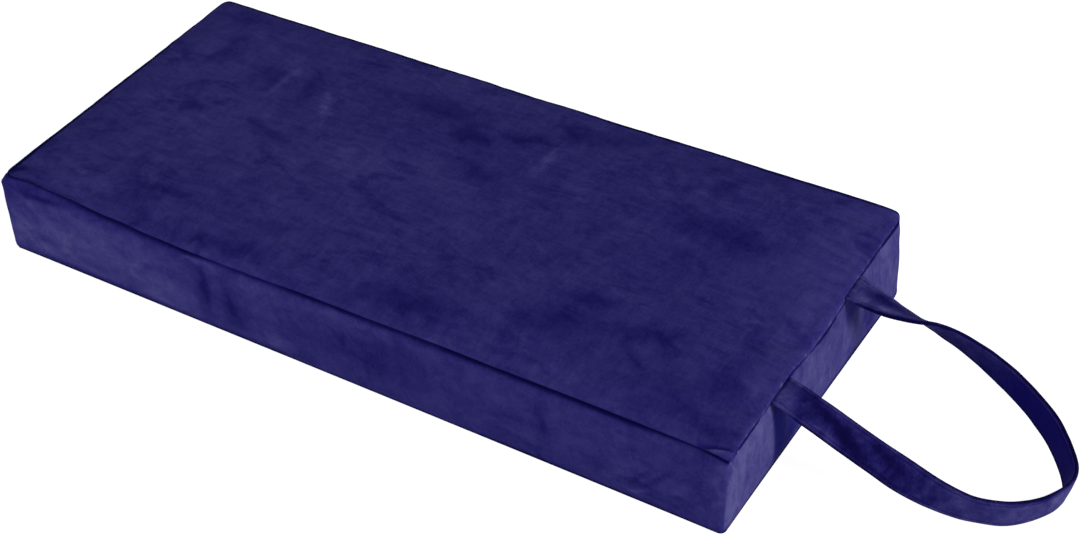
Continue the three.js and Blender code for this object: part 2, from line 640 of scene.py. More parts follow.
# How far the top seam lies above its usual height, along each side.
SEAM_RISE: dict[Face, Profile] = {
    Face.NEAR: (
        (-226, 4.5), (-216, 4.1), (-204, 4.7), (-181, 3.4), (-150, 1.5), (-118, 0.7), (-92, -0.1), (-41, 0.1),
        (-12, 0.7), (71, 1.3), (110, 1.4), (166, 1.2), (195, 1.0), (212, 0.4), (226, -0.5),
    ),
    Face.STRAP_END: (
        (-102, -1.0), (-86, -0.6), (-62, -1.6), (-36, 0.0), (-10, -4.2), (20, -4.2), (36, -2.4), (57, -1.9),
        (102, -2.6),
    ),
    Face.FAR: ((-226, 0.0), (-100, 0.6), (0, 0.6), (100, 1.4), (226, 2.2)),
    Face.PLAIN_END: ((-102, 2.5), (-88, 1.8), (0, 1.2), (102, -0.4)),
}
SEAM_BLEND = 2.0  # distance added to that from each side, so that their rises blend at a corner

# How far the seam and the lip above it stand out, along each side.
SEAM_PUSH: dict[Face, Profile] = {
    Face.NEAR: (
        (-226, -1.0), (-170, -1.0), (-140, -0.2), (-120, 1.0), (-60, 1.0), (-20, 0.2), (226, 0.0),
    ),
    Face.STRAP_END: ((-102, 0.0), (-50, 0.2), (-25, 0.6), (5, 1.3), (25, 1.0), (45, 0.2), (102, 0.0)),
}

# How far the band is drawn in under the lip of the top panel, along each side.
SEAM_TUCK: dict[Face, Profile] = {
    Face.NEAR: (
        (-226, 0.1), (-175, 0.6), (-120, 1.4), (-85, 0.8), (-50, 0.6), (-20, 1.4), (60, 1.6), (205, 1.6),
        (218, 0.7), (226, 0.0),
    ),
    Face.STRAP_END: ((-102, 0.4), (-60, 0.3), (102, 0.3)),
}

# How dark the crisp line of the top seam is, painted shade in its groove and under the top panel's lip, and
# the soft painted shade below it, along each side.
SEAM_LINE: dict[Face, Profile] = {
    Face.NEAR: (
        (-226, 0.22), (-180, 0.24), (-150, 0.36), (-100, 0.33), (-75, 0.18), (-45, 0.22), (-12, 0.52),
        (46, 0.42), (104, 0.7), (190, 0.7), (215, 0.6), (226, 0.45),
    ),
    Face.STRAP_END: (
        (-102, 0.0), (-96, 0.06), (-86, 0.42), (-62, 0.5), (-30, 0.24), (-10, 0.26), (5, 0.36), (24, 0.42),
        (60, 0.55), (102, 0.55),
    ),
    Face.FAR: ((-226, 0.3), (226, 0.3)),
    Face.PLAIN_END: ((-102, 0.3), (102, 0.3)),
}
SEAM_SHADE: dict[Face, Profile] = {
    Face.NEAR: (
        (-226, 0.04), (-200, 0.1), (-180, 0.09), (-150, 0.16), (-95, 0.14), (-80, 0.0), (-35, 0.0), (0, 0.06),
        (60, 0.06), (104, 0.1), (165, 0.1), (190, 0.03), (226, 0.03),
    ),
}

# How much wider than its least the crisp line is under the seam, along each side.
LINE_WIDTH: dict[Face, Profile] = {
    Face.NEAR: ((-226, 0.35), (-202, 0.35), (-165, 1.85), (170, 1.85), (212, 0.65), (226, 0.65)),
}

# How dark the painted shade along the foot is, where the band meets the floor.
FOOT_SHADE: dict[Face, Profile] = {
    Face.NEAR: (
        (-226, 0.3), (-175, 0.26), (-135, 0.06), (-100, 0.06), (-60, 0.22), (-20, 0.06), (65, 0.06),
        (115, 0.3), (226, 0.32),
    ),
    Face.STRAP_END: ((-102, 0.3), (-36, 0.3), (5, 0.12), (30, 0.16), (60, 0.34), (102, 0.34)),
    Face.FAR: ((-226, 0.3), (226, 0.3)),
    Face.PLAIN_END: ((-102, 0.3), (102, 0.3)),
}

# How far over the top panel's edge the painted shade along the far edges reaches, from the far sides.
FAR_REACH: dict[Face, Profile] = {
    Face.FAR: ((-226, 3.2), (-100, 2.7), (50, 2.3), (226, 1.7)),
    Face.PLAIN_END: ((-102, 2.6), (102, 2.6)),
}

# How much painted shadow of the strap's front end falls on the strap end, by the distance past a slanted
# line.
# The line is given by its place across the end at the floor, and how far that moves for each millimetre up.
FRONT_SHADE: Profile = ((0, 0.0), (2.4, 1.0), (9, 1.0), (16, 0.4), (18, 0.4), (30, 0.0))
FRONT_SHADE_EDGE = (-50.67, -0.11)

# Where the painted shadow of the strap's back end falls: middles on that face, breadths, heights and how
# much.
BACK_SHADE = (
    ((33, 28), 9.0, 20.0, 0.2),
    ((37, 38), 8.0, 8.0, 0.7),
)

# How round each corner is at its foot and at its top, as a share of the section's own corner.
CORNER_ROUNDNESS: dict[tuple[int, int], Place] = {
    (-1, -1): (0.6, 3.4),
    (1, -1): (1.0, 0.45),
    (1, 1): (1.9, 1.0),
    (-1, 1): (1.0, 1.6),
}

# How far each corner of the sewn pad lies from true: at its foot, halfway up its band, at the band's head and
# on its top.
CORNER_DRIFT: dict[Place, tuple[Triple, ...]] = {
    (-1, -1): ((-3.1, 0.1, 0.0), (-0.5, 0.1, 0.0), (-0.9, -0.2, 0.0), (0.0, 0.0, -1.8)),
    (1, -1): ((-2.4, 0.2, 0.0), (-1.5, 0.0, 0.0), (-0.6, 0.0, 0.0), (0.0, 0.0, 0.0)),
    (1, 1): ((0.2, 0.0, 0.0), (-1.65, -0.3, 0.0), (-2.3, -0.6, 0.0), (-2.4, -0.7, 0.2)),
    (-1, 1): ((-2.0, 0.0, 0.0), (-1.7, 0.0, 0.0), (-1.6, 0.0, 0.0), (-1.8, 0.0, -1.4)),
}

# Creases of each face: start, end, depth, reach and, where it has one, tone.
CREASES = rows_as(Crease, {
    Face.TOP: (
        ((207, -100.8), (223, -95.4), 1.5, 0.9), ((212, -101.8), (223, -98.0), -1.0, 1.3),
        ((190, -84), (216, -95), 0.35, 3.5), ((-150, -90), (-95, -96), 0.3, 3.0),
        ((-105, 46), (-91, 18), -0.25, 2.5), ((-134, 58), (-136, 30), -0.25, 2.2),
        ((40, 62), (38, 38), -0.2, 2.2),
    ),
    Face.NEAR: (
        ((174, 14), (187, 28), 0.6, 1.5), ((181, 12), (197, 32), 0.7, 1.5),
        ((174, 6.5), (184, 13), -0.9, 1.4), ((188, 8), (206, 26), -0.35, 2.2),
        ((160, 10), (178, 30), -0.3, 2.2), ((196, 5), (216, 22), 0.35, 1.8),
        ((125, 42), (126, 18), 0.35, 2.2), ((-84, 46), (-82, 14), 0.4, 2.6),
        ((-70, 44), (-66, 12), 0.3, 2.6), ((-150, 31), (-95, 29), 0.25, 3.0),
        ((-215, 44), (-190, 20), 0.3, 3.5), ((-221, 38), (-216, 16), -0.5, 1.0),
        ((-213, 18), (-201, 5.5), -0.9, 0.9), ((-209, 22), (-196, 8), -0.6, 1.0),
        ((-206, 36), (-200, 20), 0.45, 1.2), ((-190, 30), (-178, 8), -0.3, 1.6),
        ((-172, 34), (-160, 26), 0.3, 1.6), ((-140, 22), (-118, 12), -0.3, 1.6),
    ),
    Face.STRAP_END: (
        ((-6, 46), (-3, 22), 0.5, 1.2), ((-3, 46), (-1, 24), -0.35, 1.2),
        ((-99, 49.3), (-93.8, 33), -1.0, 0.6, 0.2), ((-94.2, 36), (-93.0, 18), -0.8, 0.6, 0.16),
        ((-92, 42), (-90, 18), 0.3, 2.2), ((22, 40), (26, 28), 0.25, 1.6), ((98, 44), (97, 30), 0.5, 2.4),
    ),
})

# Patches of each face: centre, length, breadth, turn and tone.
PATCHES = rows_as(PileAndLightPatch, {
    Face.TOP: (
        ((-167, -3), 8, 6, 15, -0.18), ((-155, 8), 5, 3, 40, -0.13), ((-196, 86), 12, 8, 0, -0.1),
        ((-219, -94), 5, 3, 60, -0.2), ((-184, 60), 5, 14, 10, -0.11), ((-185, 45), 11, 6, 20, -0.1),
        ((-144, 42), 12, 9, 0, -0.11), ((-117, 42), 6, 15, 8, -0.11), ((-116, -3), 22, 4, -12, -0.1),
        ((-38, 62), 32, 10, 5, -0.1), ((-8, 46), 13, 7, -20, -0.13), ((20, 58), 15, 5, 12, -0.13),
        ((15, 18), 18, 7, -10, -0.11), ((52, 78), 26, 9, 20, -0.1), ((148, 38), 34, 11, 4, -0.12),
        ((136, 70), 12, 6, 70, -0.1), ((118, -40), 15, 5, 10, -0.13), ((108, -61), 20, 13, 20, -0.1),
        ((154, -49), 24, 7, 14, -0.12), ((200, -56), 9, 15, 0, -0.1), ((36, -84), 30, 8, -6, -0.13),
        ((-72, -91), 28, 5, 0, -0.13), ((-140, -80), 14, 8, 15, -0.11), ((-60, -70), 16, 7, 30, -0.07),
        ((-134, 44), 2.5, 18, -6, 0.11), ((-98, 31), 2.5, 18, 27, 0.11), ((39, 48), 2.5, 13, 5, 0.1),
        ((-40, 4), 46, 18, 5, 0.04), ((205, 70), 16, 20, 0, 0.06), ((214, 0), 8, 60, 0, 0.06),
        ((-90, -25), 95, 75, 0, 0.05), ((-150, 20), 60, 70, 0, 0.03), ((-195, -82), 26, 12, 0, 0.05),
        ((190, -15), 10, 22, 0, 0.05), ((128, 62), 14, 12, 0, 0.05), ((70, 30), 9, 9, 0, 0.06),
        ((10, -90), 8, 6, 0, -0.07), ((160, -74), 45, 18, 0, -0.05), ((-130, -82), 16, 10, 0, 0.05),
        ((150, 5), 45, 40, 0, -0.045), ((0, -35), 34, 34, 0, 0.02), ((118, 45), 34, 30, 0, 0.03),
        ((-60, 76), 40, 12, 0, 0.03), ((-165, -86), 50, 9, 0, 0.03), ((50, 8), 14, 12, 0, 0.03),
        ((172, 32), 14, 12, 0, -0.04), ((180, 60), 14, 8, 0, -0.06), ((190, -82), 28, 16, 0, -0.03),
    ),
    Face.NEAR: (
        ((-155, 30), 62, 14, 0, 0.13), ((-160, 12), 70, 18, 0, 0.12), ((-42, 26), 10, 16, 0, 0.07),
        # The patches at (-86, 46) and (5, 46) are painted light that evens out the shade under the seam's
        # tuck.
        ((-35, 10), 8, 7, 0, 0.16), ((-86, 46), 11, 3, 0, 0.2), ((-125, 6), 42, 5, 0, 0.08),
        ((5, 46), 40, 2.5, 0, 0.09), ((-208, 14), 14, 10, 0, 0.07), ((-200, 36), 10, 8, 0, 0.07),
        ((108, 20), 14, 12, 0, 0.04), ((-150, 42), 60, 5, 0, 0.07), ((-112, 14), 22, 14, 0, 0.06),
        # The patches at (222, 38) and (218, 41) are painted light where the light wraps round the corner at
        # the strap end.
        ((0, 38), 16, 9, 0, 0.07), ((222, 38), 2.5, 12, 0, 0.14), ((218, 41), 5, 8, 0, 0.09),
        ((-200, 22), 22, 20, 0, 0.05), ((-85, 28), 6, 24, 0, -0.14), ((-66, 24), 8, 18, 0, -0.08),
        ((-40, 42), 22, 5, 0, 0.06), ((25, 28), 30, 16, 0, -0.1), ((125, 30), 4, 18, 0, -0.08),
        # The patch at (-196, 49.5) is painted shade under the top panel's lip.
        ((190, 18), 20, 14, 0, 0.03), ((155, 16), 10, 9, 0, -0.06), ((-196, 49.5), 14, 4, 0, -0.2),
    ),
    Face.STRAP_END: (
        # The patches at (56.5, 20), (-38, 8) and (-32, 17) are painted shadow of the strap. The one at (36,
        # 30) is painted light that takes out part of the strap's cast shadow.
        ((-93, 34), 7, 20, 0, 0.1), ((-78, 46), 12, 5, 0, 0.1), ((56.5, 20), 5.5, 14, 0, -0.19),
        ((9, 46), 14, 4, 0, -0.2), ((84, 46), 8, 4, 0, 0.1), ((36, 30), 7, 15, -8, 0.13),
        ((16, 30), 8, 12, 0, -0.1), ((-56, 46), 5, 4, 0, 0.13), ((62, 9), 11, 9, 0, -0.12),
        ((-97, 16), 5, 10, 0, 0.1), ((-38, 8), 18, 5, 0, -0.2), ((-32, 17), 10, 11, 0, -0.22),
    ),
})


class CoverGrid:
    """Closed box of cloth: a grid for the top panel, rings for the side band, and a flat underside."""

    def __init__(self, top: Array, band: Array) -> None:
        """Keeps the grids.

        Args:
            top: points by line of x and line of y.
            band: points by ring, from the underside's border to the top panel's, and by place round it.
        """
        self.top = top
        self.band = band

    def border(self) -> tuple[Array, Array]:
        """Lines of x and of y round the border, anticlockwise from the corner where both are least.

        Returns:
            The number of the line of x and that of y, for each place round the border.
        """
        last_x = self.top.shape[0] - 1
        last_y = self.top.shape[1] - 1
        lines_x = np.r_[0:last_x, np.full(last_y, last_x), last_x:0:-1, np.zeros(last_y, int)]
        lines_y = np.r_[np.zeros(last_x, int), 0:last_y, np.full(last_x, last_y), last_y:0:-1]
        return lines_x, lines_y

    def numbers(self) -> tuple[Array, Array]:
        """Vertex numbers of the top panel's grid and of the rings. The last ring is the panel's border.

        Returns:
            The panel's numbers and the rings'.
        """
        count_x, count_y = self.top.shape[:2]
        rings, places = self.band.shape[:2]
        panel = np.arange(count_x * count_y).reshape(count_x, count_y)
        levels = np.empty((rings, places), int)
        levels[:-1] = panel.size + np.arange((rings - 1) * places).reshape(-1, places)
        levels[-1] = panel[self.border()]
        return panel, levels

    def points(self) -> Array:
        """Every vertex once: top panel, then the rings below it."""
        return np.vstack([grid.reshape(-1, 3) for grid in (self.top, self.band[:-1])])

    def keep_points(self, points: Array) -> None:
        """Puts moved vertices back into the grids."""
        panel, levels = self.numbers()
        self.top = points[panel]
        self.band = points[levels]

    def faces(self) -> list[tuple[int, ...]]:
        """Faces of the whole box, facing out.

        Returns:
            Vertex numbers of each face.
        """
        panel, levels = self.numbers()
        corners = (panel[:-1, :-1], panel[1:, :-1], panel[1:, 1:], panel[:-1, 1:])
        top = np.stack(corners, -1).reshape(-1, 4)
        onward = np.roll(levels, -1, axis=1)
        band = np.stack([levels[:-1], onward[:-1], onward[1:], levels[1:]], -1).reshape(-1, 4)
        under = tuple(levels[0, ::-1].tolist())
        return [tuple(face) for face in np.vstack([top, band]).tolist()] + [under]


COVER_UNEVEN = (SoftNoise(11, 38.0, 120.0, 0.28), SoftNoise(12, 9.0, 24.0, 0.06))
SEAM_GATHERS = (SoftNoise(21, 6.0, 13.0, 0.1), SoftNoise(22, 30.0, 90.0, 0.12))
GATHER_STRETCH = (1.0, 1.0, 0.12)  # the gathers run up and down
TUFT_HIGHLIGHTS = SoftNoise(23, 2.2, 4.5, 0.28)  # painted highlights on pile tips beside the strap end's seam
NAP_STIRRED = tuple(SoftNoise(31 + axis, 7.0, 26.0, 2.6) for axis in range(3))
FAR_BELOW = 1e3  # stands for no distance below the seam


@dataclass
class KneelingPad:
    """Firm pad in its sewn cover: two panels and a side band, puffed out between their seams."""

    finish: PileCloth
    half_length: float = 1000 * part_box("cushion")[1].x
    half_width: float = 1000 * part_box("cushion")[1].y
    seam_height: float = 51.5
    band_head: float = 6.0  # height of the band's head, below the seam
    crown: float = 2.2  # of the cut cover, before it is filled
    crown_power: float = 4.0
    corner_turn: float = 6.0  # how late up the band a corner takes the roundness of its top
    drawn_in: Place = (0.15, 0.2)  # how far the short and the long sides pull in, halfway along
    finest_step: float = 0.5  # of the grid, at the edges
    widest_step: float = 1.7
    step_growth: float = 1.1
    fine_end: float = 9.0  # length of the long sides' ends that keeps the finest step
    cage_step: float = 6.0
    filling_frames: int = 20
    most_swell: Place = (1.6, 0.7)  # of the top panel and of the side band
    lip_width: float = 3.0  # of the top panel's roll over the seam
    tuck_at: Place = (1.6, 3.2)  # how far below the seam the band is drawn in most, and its reach
    tuck_head: float = 0.2  # height above the seam up to which it is drawn in
    gather_fade: float = 5.0  # how far the gathers and the push reach from the seam
    gather_floor: float = 8.0  # height below which there are none
    lip_gathers: Place = (0.8, 2.0)  # height above the seam over which the gathers lift the top panel
    outward_power: int = 15  # how soon a side's push fades towards the middle
    corner_reach: float = 7.0
    corner_knot: Place = (1.1, 1.1)  # how far the seam stands out at a corner, and its reach
    full_corner: float = 2.6  # how far the near plain corner swells out under its seam
    full_corner_at: Place = (3.6, 4.6)  # how far below the seam, and its reach
    top_start: Place = (0.6, 2.2)  # height above the seam over which the top panel's own pile begins
    band_end: float = 4.0  # height below the seam over which the band's own pile ends
    band_start: Place = (2.5, 6.0)  # height above the floor over which it begins
    side_depth: Place = (4.0, 7.0)  # depth over which a point stops belonging to a side
    corner_share: float = 0.8  # half of the width over which two sides share their corner
    cover_lie: float = 0.012  # tone of the pile where nothing has brushed it
    strap_end_light: float = 0.175  # by which the strap end is painted lighter, as lit by the lamp at that end
    crease_shade: float = 0.16  # painted shade per millimetre of a crease's depth, a painted highlight on a ridge
    line_width: Place = (0.4, 0.4)  # least of the seam's crisp line, above it and below it
    line_hidden: float = 1.4  # height below the strap end's seam that the lip hides from above
    tuft_at: Place = (1.4, 0.8)  # distance of the pile tips' painted highlights from the seam, and their reach
    shade_reach: float = 3.5  # of the soft shade under the seam
    foot_reach: float = 1.6  # of the painted shade along the foot
    far_shade: float = 0.5  # by which the far edges are painted darker, as painted shade where the top panel rolls away
    far_edge: float = 0.8  # half of the width over which that ends
    strap_shadow_tone: float = 0.08  # by which the strap's painted shadow darkens the pile behind its ends
    strap_shadow_depth: float = 0.75  # how deep a blue the strap's painted shadow turns the colour there
    seam_line: dict[int, Array] = field(default_factory=dict)

    def outline(self, across: Array, along: Array, row: SectionRow) -> Array:
        """Points of one level.

        Args:
            across: first grid coordinate, from -1 to 1.
            along: second grid coordinate, from -1 to 1.
            row: the level's inset, height and corner.

        Returns:
            The points, one a row.
        """
        half_x = self.half_length - row.inset
        half_y = self.half_width - row.inset
        x = across * half_x
        y = along * half_y
        corner = row.corner * self.roundness(across, along, row.height)
        past_x = np.clip((np.abs(x) - half_x + corner) / corner, 0, 1)
        past_y = np.clip((np.abs(y) - half_y + corner) / corner, 0, 1)
        in_corner = (past_x > 0) & (past_y > 0)
        arc_x = half_x - corner + corner * past_x * np.sqrt(1 - past_y ** 2 / 2)
        arc_y = half_y - corner + corner * past_y * np.sqrt(1 - past_x ** 2 / 2)
        x = np.where(in_corner, np.sign(x) * arc_x, x)
        y = np.where(in_corner, np.sign(y) * arc_y, y)
        pull_x, pull_y = self.drawn_in
        narrowed = x * (1 - pull_x * (1 - along ** 2) / half_x)
        slimmed = y * (1 - pull_y * (1 - across ** 2) / half_y)
        rise = row.follows * self.seam_rise(narrowed, slimmed)
        return np.column_stack([narrowed, slimmed, row.height + rise])

    def roundness(self, across: Array, along: Array, height: float) -> Array:
        """How round the corner nearest to each point is at a height, beside the section's own corner.

        Args:
            across, along: grid coordinates, from -1 to 1.
            height: height above the floor.

        Returns:
            What the section's corner is multiplied by.
        """
        share = np.ones(len(across))
        up = min(height / self.seam_height, 1.0) ** self.corner_turn
        for (side_x, side_y), (foot, top) in CORNER_ROUNDNESS.items():
            nearest = (side_x * across > 0) & (side_y * along > 0)
            share[nearest] = foot + (top - foot) * up
        return share

    def seam_rise(self, x: Array, y: Array) -> Array:
        """How far the top seam lies above its usual height, near each point of the plan.

        Args:
            x, y: places on the plan.

        Returns:
            The rise there.
        """
        plan = (x, y)
        halves = (self.half_length, self.half_width)
        weights = {}
        for face in SEAM_RISE:
            gap = halves[face.axis] - face.sign * plan[face.axis]
            weights[face] = 1 / (np.maximum(gap, 0) + SEAM_BLEND) ** 2
        total = sum(weights.values())
        rise = np.zeros_like(x)
        for face, weight in weights.items():
            rise += weight / total * eased_profile(SEAM_RISE[face], plan[face.along])
        return rise

    def grid_lines(self, half: float, fine: float) -> Array:
        """Lines across a side that lie close together near both of its ends.

        Args:
            half: half of the side's length.
            fine: length of each end that keeps the finest step.

        Returns:
            The lines, from -1 to 1.
        """
        steps = []
        step = self.finest_step
        while sum(steps) < half:
            steps.append(step)
            if sum(steps) > fine:
                step = min(step * self.step_growth, self.widest_step)
        gaps = np.concatenate([[0], np.cumsum(steps)]) / sum(steps)
        return np.concatenate([gaps - 1, (1 - gaps[:-1])[::-1]])

    def lay_out(self, lines_x: Array, lines_y: Array, rows: list[SectionRow]) -> CoverGrid:
        """Cut cover on a grid.

        Args:
            lines_x, lines_y: grid lines from -1 to 1.
            rows: levels from the underside's edge to the rim of the top panel.

        Returns:
            The cover's grids.
        """
        across, along = (grid.ravel() for grid in np.meshgrid(lines_x, lines_y, indexing="ij"))
        shape = (len(lines_x), len(lines_y), 3)
        top = self.outline(across, along, rows[-1])
        rise = (1 - np.abs(across) ** self.crown_power) * (1 - np.abs(along) ** self.crown_power)
        top[:, 2] += self.crown * rise
        cover = CoverGrid(top.reshape(shape), np.empty((0, 0, 3)))
        places_x, places_y = cover.border()
        rings = [self.outline(lines_x[places_x], lines_y[places_y], row) for row in rows]
        rings[-1] = cover.top[places_x, places_y]
        cover.band = np.stack(rings)
        return cover

    def fill(self) -> CoverGrid:
        """Coarse cover blown up by its filling with the seams held.

        Returns:
            How far each point of the coarse cover moved, held back to most_swell.
        """
        counts = [round(2 * half / self.cage_step) for half in (self.half_length, self.half_width)]
        lines = [np.linspace(-1, 1, count + 1) for count in counts]
        cage = self.lay_out(*lines, [SIDE_SECTION[index] for index in CAGE_ROWS])
        before = cage.points()
        cloth = new_piece("filling_cage", before, cage.faces())
        held = cloth.vertex_groups.new(name="sewn")
        _, levels = cage.numbers()
        sewn = np.concatenate([levels[0], levels[CAGE_ROWS.index(TOP_SEAM_ROW)], levels[-1]])
        held.add([int(index) for index in sewn], 1.0, "REPLACE")
        settings = cloth.modifiers.new("filling", "CLOTH").settings
        for name, value in FILLING.items():
            setattr(settings, name, value)
        settings.vertex_group_mass = held.name
        settings.effector_weights.gravity = 0
        scene = bpy.context.scene
        for number in range(1, self.filling_frames + 1):
            scene.frame_set(number)
        filled = cloth.evaluated_get(bpy.context.evaluated_depsgraph_get())
        after = np.array([vertex.co for vertex in filled.data.vertices]) / MM
        bpy.data.objects.remove(cloth)
        scene.frame_set(1)
        cage.keep_points(after - before)
        cage.top = self.held_back(cage.top, self.most_swell[0])
        cage.band = self.held_back(cage.band, self.most_swell[1])
        return cage

    @staticmethod
    def held_back(shift: Array, most: float) -> Array:
        """Shifts eased off so that none is longer than most."""
        length = np.linalg.norm(shift, axis=-1, keepdims=True)
        return shift / (1 + (length / most) ** 3) ** (1 / 3)

    def swell(self, cover: CoverGrid, lines_x: Array, lines_y: Array, rows: list[SectionRow]) -> None:
        """Moves the fine cover as the coarse one moved.

        Args:
            cover: the fine cover, which is changed.
            lines_x, lines_y: its grid lines.
            rows: its levels.
        """
        shift = self.fill()
        last_x, last_y = shift.top.shape[0] - 1, shift.top.shape[1] - 1
        at_x, at_y = (lines_x + 1) / 2 * last_x, (lines_y + 1) / 2 * last_y
        wide = resample(shift.top, at_x)
        cover.top = cover.top + resample(wide.transpose(1, 0, 2), at_y).transpose(1, 0, 2)
        round_border = np.concatenate([
            at_x[:-1],
            last_x + at_y[:-1],
            2 * last_x + last_y - at_x[:0:-1],
            2 * (last_x + last_y) - at_y[:0:-1],
        ])
        cage_heights = [SIDE_SECTION[index].height for index in CAGE_ROWS]
        levels = np.interp([row.height for row in rows], cage_heights, np.arange(len(cage_heights)))
        rings = resample(shift.band.transpose(1, 0, 2), round_border, closed=True).transpose(1, 0, 2)
        cover.band[1:-1] += resample(rings, levels)[1:-1]

    def face_weight(self, points: Array, face: Face) -> Array:
        """How much each point belongs to a face, from 0 to 1.

        Args:
            points: places on the pad, one a row.
            face: the face.

        Returns:
            The shares.
        """
        above = points[:, 2] - self.seam_height
        if face is Face.TOP:
            return smoothstep(*self.top_start, above)
        below_top = 1 - smoothstep(-self.band_end, 0.0, above)
        return self.on_side(points, face) * below_top * smoothstep(*self.band_start, points[:, 2])

    def on_side(self, points: Array, face: Face) -> Array:
        """Which points lie at a side, from 0 to 1, shared at the corner with the side that meets it.

        Args:
            points: places on the pad, one a row.
            face: the side.

        Returns:
            The shares.
        """
        halves = (self.half_length, self.half_width)
        inside = halves[face.axis] - face.sign * points[:, face.axis]
        beside = halves[1 - face.axis] - np.abs(points[:, 1 - face.axis])
        shared = smoothstep(-self.corner_share, self.corner_share, beside - inside)
        return (1 - smoothstep(*self.side_depth, inside)) * shared

    def from_seam(self, points: Array) -> tuple[Array, Array]:
        """Height of each point above the top seam, and its distance from it over the cloth.

        Args:
            points: places on the pad, one a row.

        Returns:
            The heights and the distances.
        """
        x, y, z = points.T
        above = z - self.seam_height - self.seam_rise(x, y)
        inside = np.minimum(self.half_length - np.abs(x), self.half_width - np.abs(y))
        over_top = np.hypot(above, np.maximum(inside - self.lip_width, 0.0))
        return above, np.where(above > 0, over_top, -above)

    def along_sides(self, points: Array, profiles: dict[Face, Profile]) -> Array:
        """Value at each point of the profile of the side that it lies at, or 0 away from those sides.

        Args:
            points: places on the pad, one a row.
            profiles: values along each side.

        Returns:
            The values.
        """
        value = np.zeros(len(points))
        for face, stations in profiles.items():
            value += eased_profile(stations, points[:, face.along]) * self.on_side(points, face)
        return value

    def press_creases(self, points: Array) -> Array:
        """The points with the creases pressed in and the cover's soft unevenness added.

        Args:
            points: places on the pad, one a row.

        Returns:
            The moved points.
        """
        shaped = points.copy()
        uneven = sum(noise.at(points) for noise in COVER_UNEVEN)
        for face in Face:
            out = uneven.copy()
            for crease in CREASES.get(face, ()):
                out -= crease.depth * crease.nearness(face.flat(points))
            shaped[:, face.axis] += face.sign * self.face_weight(points, face) * out
        return shaped

    def pucker_seams(self, points: Array) -> Array:
        """The points with the band tucked under the top panel and short gathers beside the top seam.

        Args:
            points: places on the pad, one a row.

        Returns:
            The moved points.
        """
        shaped = points.copy()
        above, away = self.from_seam(points)
        near_seam = np.exp(-away / self.gather_fade) * (points[:, 2] > self.gather_floor)
        swell = near_seam * sum(noise.at(points * GATHER_STRETCH) for noise in SEAM_GATHERS)
        halves = np.array((self.half_length, self.half_width))
        outward = np.clip(points[:, :2] / halves, -1, 1) ** self.outward_power
        pushed = self.along_sides(points, SEAM_PUSH) * bell(away, self.gather_fade)
        knot, knot_reach = self.corner_knot
        drop, reach = self.full_corner_at
        plump = self.full_corner * bell(above + drop, reach) * (points[:, :2] < 0).all(axis=1)
        at_corner = bell(halves - np.abs(points[:, :2]), self.corner_reach).prod(axis=1)
        gathered = (knot * bell(away, knot_reach) + plump) * at_corner
        tuck_drop, tuck_reach = self.tuck_at
        under_lip = bell(above + tuck_drop, tuck_reach) * (above < self.tuck_head)
        tucked = self.along_sides(points, SEAM_TUCK) * under_lip
        shaped[:, :2] += outward * (swell + pushed + gathered - tucked)[:, None]
        shaped[:, 2] += swell * smoothstep(*self.lip_gathers, above)
        return shaped

    def drift(self, points: Array) -> Array:
        """The points of a true pad moved with its corners to where they lie on the sewn one.

        Args:
            points: places on the pad, one a row.

        Returns:
            The moved points.
        """
        levels = (0.0, self.seam_height / 2, self.seam_height - self.band_head, self.seam_height)
        east = points[:, 0] / self.half_length
        north = points[:, 1] / self.half_width
        shaped = points.copy()
        for (side_x, side_y), moves in CORNER_DRIFT.items():
            share = (1 + side_x * east) * (1 + side_y * north) / 4
            for axis in range(3):
                move = np.interp(points[:, 2], levels, [moved[axis] for moved in moves])
                shaped[:, axis] += share * move
        return shaped

    def nap(self, points: Array) -> Array:
        """How the pile lies at each point, with painted light and shade added: below 0 dark, above 0 light.

        Args:
            points: places on the pad, one a row.

        Returns:
            The tones.
        """
        stirred = points + np.column_stack([noise.at(points) for noise in NAP_STIRRED])
        lie = np.full(len(points), self.cover_lie)
        for face in Face:
            # The strap end is painted lighter, as lit by the lamp at that end.
            here = np.full(len(points), self.strap_end_light if face is Face.STRAP_END else 0.0)
            for patch in PATCHES.get(face, ()):
                here += patch.lie(face.flat(stirred))
            # Creases add painted shade in their troughs and painted highlights on their ridges.
            for crease in CREASES.get(face, ()):
                tone = crease.tone - self.crease_shade * crease.depth
                here += tone * crease.nearness(face.flat(points))
            lie += self.face_weight(points, face) * here
        # Painted shade along the seams, the foot and the far edges, and the strap's painted shadow, are taken
        # off.
        return lie - self.sewn_shade(points) - self.strap_shadow_tone * self.strap_shadow(points)

    def sewn_shade(self, points: Array) -> Array:
        """Painted shade along the seams, the foot and the far edges, less painted highlights by the strap
        end's seam.

        Args:
            points: places on the pad, one a row.

        Returns:
            What is taken from the tones.
        """
        above, away = self.from_seam(points)
        over = above > 0
        below = np.where(over, FAR_BELOW, -above)
        on_end = self.on_side(points, Face.STRAP_END)
        least_over, least_under = self.line_width
        wide = least_under + self.along_sides(points, LINE_WIDTH)
        under = bell(np.maximum(below - self.line_hidden * on_end, 0), wide)
        line = self.along_sides(points, SEAM_LINE) * np.where(over, np.exp(-away / least_over), under)
        # Painted highlights on the pile tips beside the strap end's seam.
        tuft_gap, tuft_reach = self.tuft_at
        tuft_highlights = np.maximum(TUFT_HIGHLIGHTS.at(points), 0.0) * bell(away - tuft_gap, tuft_reach) * on_end
        soft = self.along_sides(points, SEAM_SHADE) * np.exp(-below / self.shade_reach)
        foot = self.along_sides(points, FOOT_SHADE) * np.exp(-points[:, 2] / self.foot_reach)
        inside_far = self.along_sides(points, FAR_REACH) - away
        far = self.far_shade * smoothstep(-self.far_edge, self.far_edge, inside_far) * over
        return line - tuft_highlights + soft + foot + far

